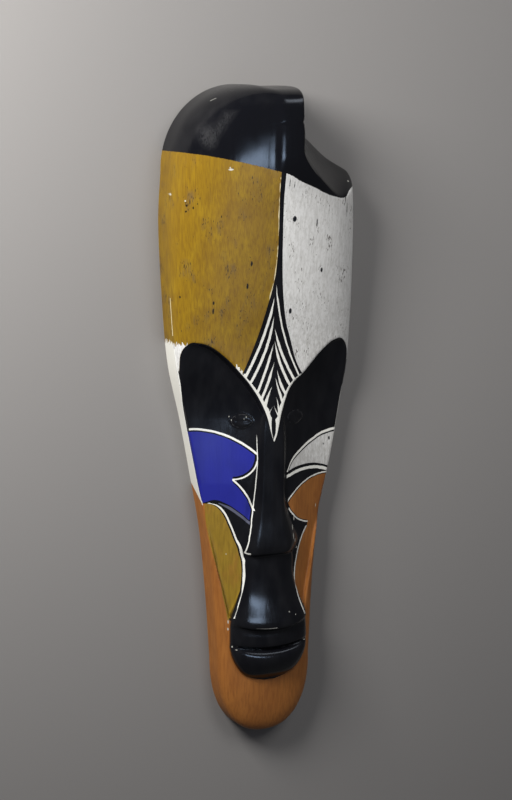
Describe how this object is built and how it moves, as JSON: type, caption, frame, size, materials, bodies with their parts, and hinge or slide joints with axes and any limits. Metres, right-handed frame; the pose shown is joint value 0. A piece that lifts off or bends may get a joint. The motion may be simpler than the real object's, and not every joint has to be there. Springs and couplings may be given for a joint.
{
  "type": "fang mask",
  "caption": "Long carved and painted wooden face mask with a tall forehead, heart-shaped face, narrow nose, small muzzle and hollow back.",
  "frame": {"origin": "Middle of the back, in the plane of the flat back rim on which the mask lies", "axes": "+X to the right of the mask's picture, +Y from the chin to the crown, +Z out of the face"},
  "size_m": [0.1832, 0.5999, 0.0781],
  "materials": {
    "painted_wood": "Hand-painted hardwood: polished black cap, face and muzzle, ochre, white, blue and orange areas with white brush lines, all slightly worn. Bare carved wood behind."
  },
  "bodies": {
    "root": {"mask": "painted_wood"}
  },
  "joints": []
}
